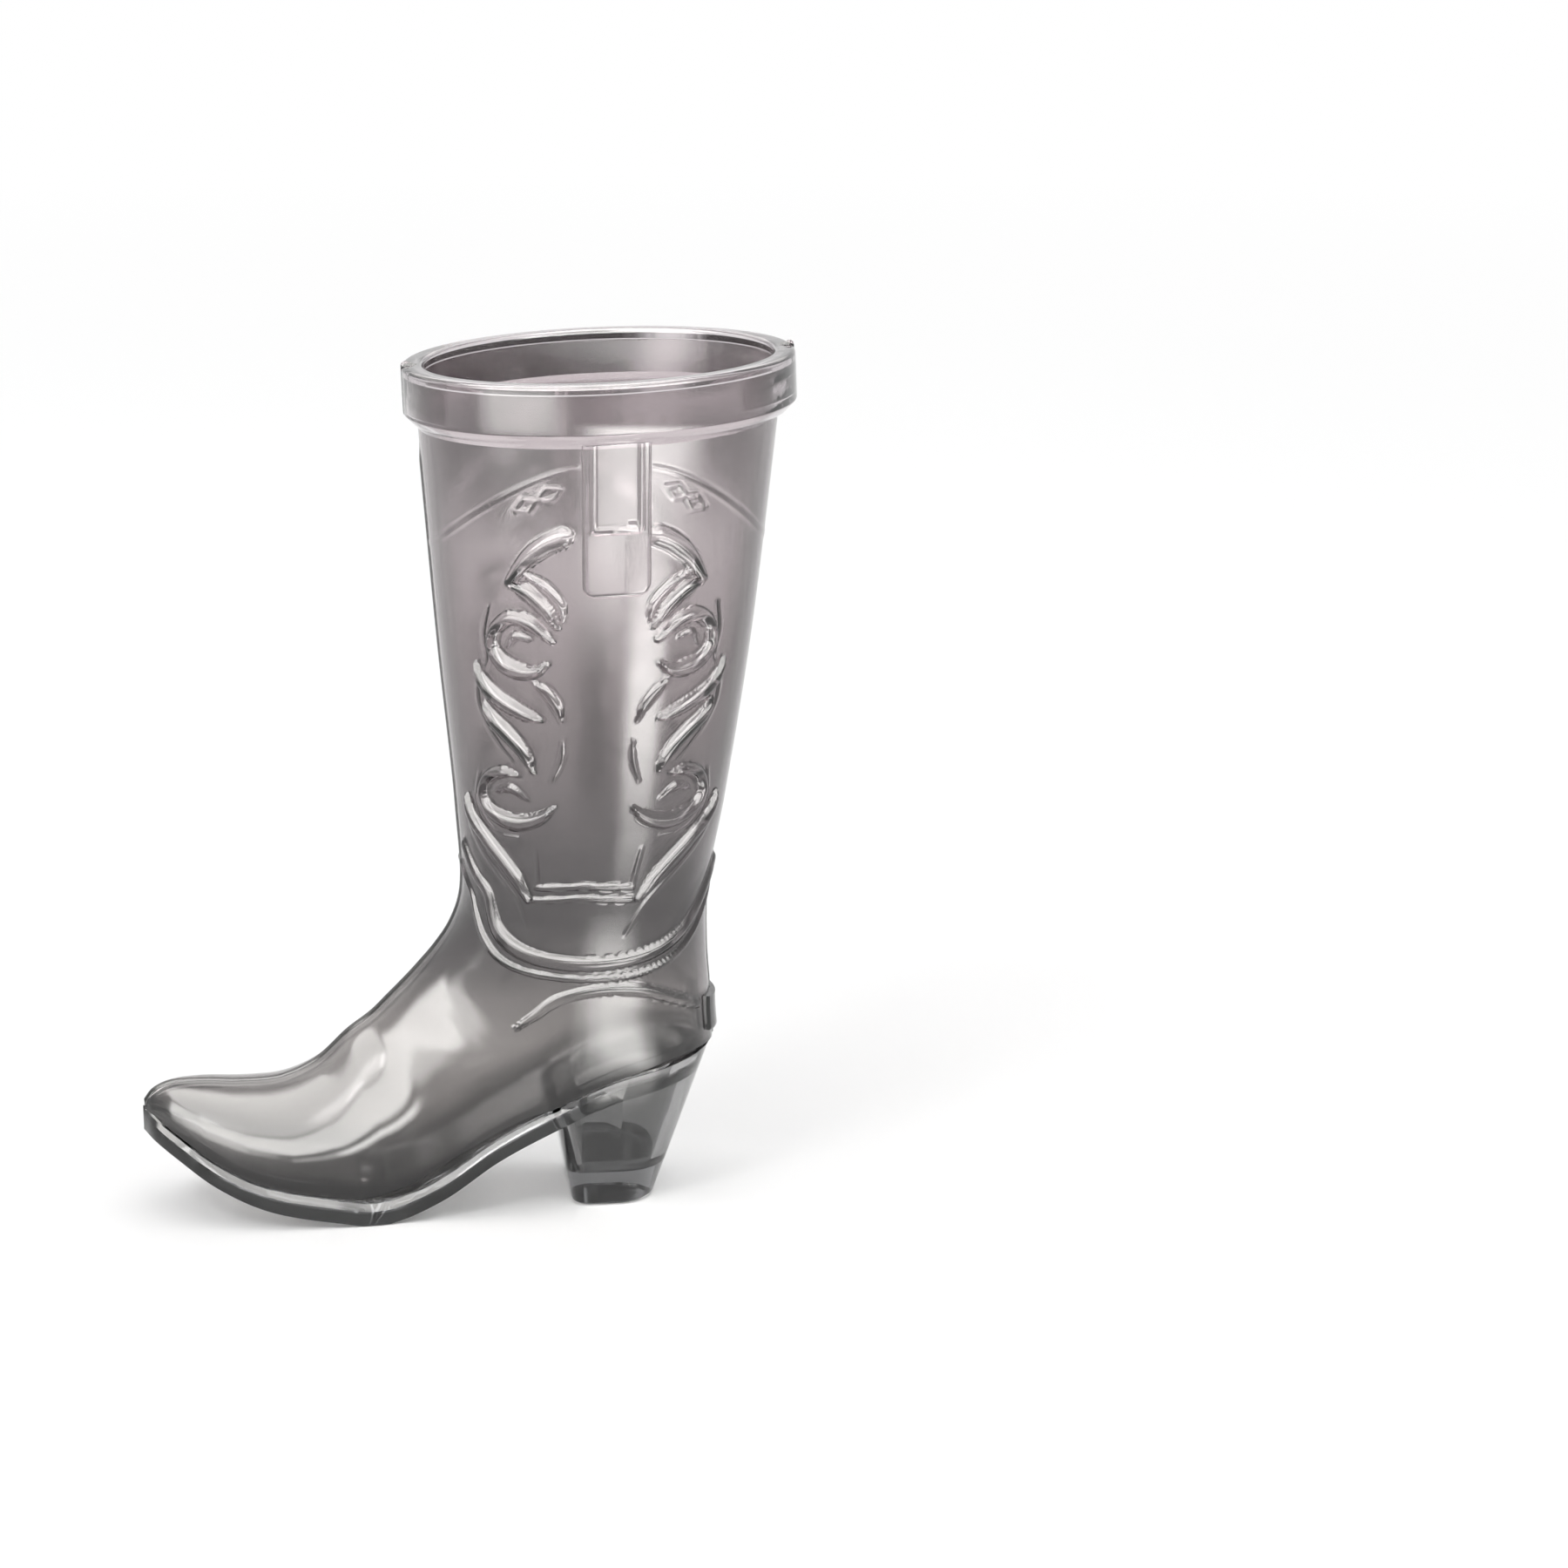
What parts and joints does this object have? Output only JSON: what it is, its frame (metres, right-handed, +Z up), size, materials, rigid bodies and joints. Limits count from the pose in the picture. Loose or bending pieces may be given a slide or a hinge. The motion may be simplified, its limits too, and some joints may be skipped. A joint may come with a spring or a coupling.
{
  "type": "boot-shaped drinking cup",
  "caption": "Clear smoke-tinted plastic drinking cup shaped like a western boot, with a thick lip collar, side pull tabs, a pointed toe, a welted sole and a hollow block heel.",
  "frame": {"origin": "on the floor, under the middle of the cup's length and width", "axes": "+Z up along the shaft, -X towards the toe, +X towards the heel, Y across the seam plane"},
  "size_m": [0.1472, 0.0854, 0.1915],
  "materials": {
    "upper_plastic": "clear injection-moulded plastic with a light smoke tint, polished",
    "base_plastic": "the same clear smoke plastic in a thicker moulding, so darker, polished"
  },
  "bodies": {
    "root": {"left_shell": "upper_plastic", "right_shell": "upper_plastic", "rim_collar": "upper_plastic", "left_pull_strap": "upper_plastic", "right_pull_strap": "upper_plastic", "spur_rest": "upper_plastic", "sole_and_heel": "base_plastic", "heel_lift": "base_plastic"}
  },
  "joints": []
}
